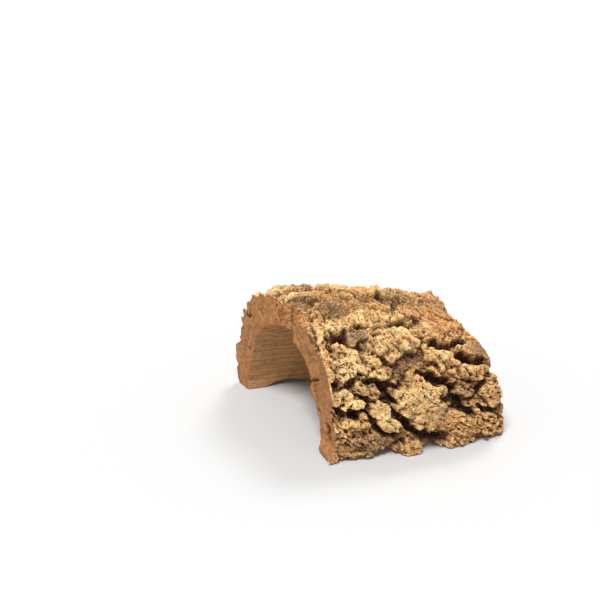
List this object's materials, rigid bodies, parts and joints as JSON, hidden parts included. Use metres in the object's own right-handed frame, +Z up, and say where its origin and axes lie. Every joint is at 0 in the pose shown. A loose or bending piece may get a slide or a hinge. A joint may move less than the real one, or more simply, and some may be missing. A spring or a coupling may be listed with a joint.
{
  "type": "cork bark slab",
  "caption": "Arched slab of rough virgin cork bark, deeply fissured and pitted outside and smoother inside, standing on its two long edges.",
  "frame": {"origin": "the middle of the slab's box, on the floor it stands on", "axes": "+X along the trunk the bark grew on, from the sawn end to the broken end; -Y the front face, +Y the back; +Z up"},
  "size_m": [0.2456, 0.2212, 0.139],
  "materials": {
    "cork_bark": "dry, matt, rough natural bark"
  },
  "bodies": {
    "root": {"cork_bark": "cork_bark"}
  },
  "joints": []
}
